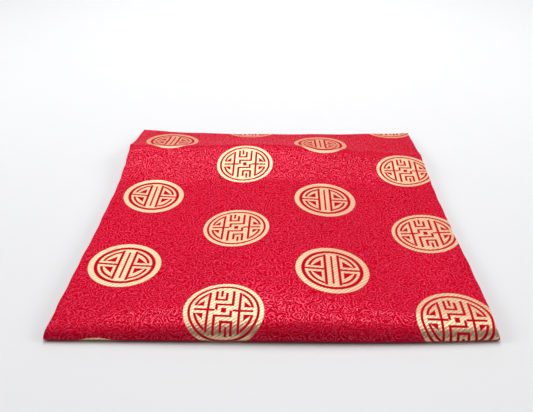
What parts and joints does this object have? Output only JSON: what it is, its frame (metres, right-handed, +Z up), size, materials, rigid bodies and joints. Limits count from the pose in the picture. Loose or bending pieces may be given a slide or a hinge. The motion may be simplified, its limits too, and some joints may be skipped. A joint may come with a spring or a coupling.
{
  "type": "folded brocade panel",
  "caption": "Length of red brocade with woven gold medallions, folded back and forth into a flat packet with a full front fold and a low ridge near the back.",
  "frame": {"origin": "on the surface that the packet lies on, at the middle of its footprint", "axes": "+X to the right along the front fold, +Y from the front fold to the cut back edge, +Z up"},
  "size_m": [0.2706, 0.281, 0.0194],
  "materials": {
    "brocade": "satin"
  },
  "bodies": {
    "root": {"panel_cloth": "brocade"}
  },
  "joints": []
}
